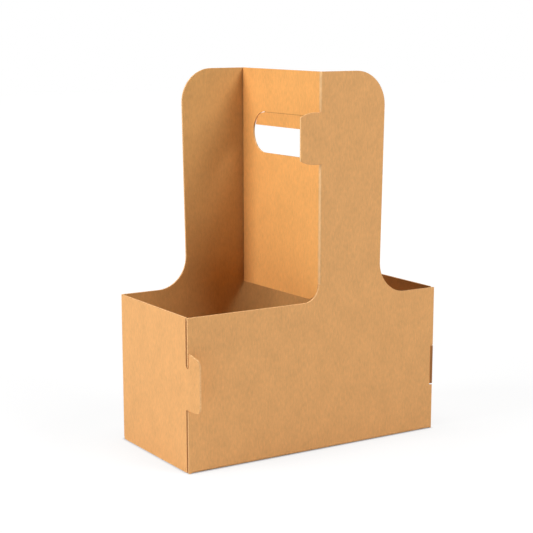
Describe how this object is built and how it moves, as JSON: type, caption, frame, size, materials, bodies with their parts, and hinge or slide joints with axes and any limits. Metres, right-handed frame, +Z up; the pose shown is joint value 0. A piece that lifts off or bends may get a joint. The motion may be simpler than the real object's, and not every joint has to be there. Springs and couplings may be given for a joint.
{
  "type": "cardboard cup carrier",
  "caption": "Folded kraft board carrier for take-away cups, with an open box, offset half handle panels and a divider with a hand hole.",
  "frame": {"origin": "middle of the underside of the base panel", "axes": "+X along the box, +Y from the front panel to the rear panel, +Z up; the left hook stands out past the front panel on the -Y side"},
  "size_m": [0.19, 0.1019, 0.243],
  "materials": {
    "kraft_board": "matte, uncoated brown kraft"
  },
  "bodies": {
    "root": {"cup_carrier": "kraft_board"}
  },
  "joints": []
}
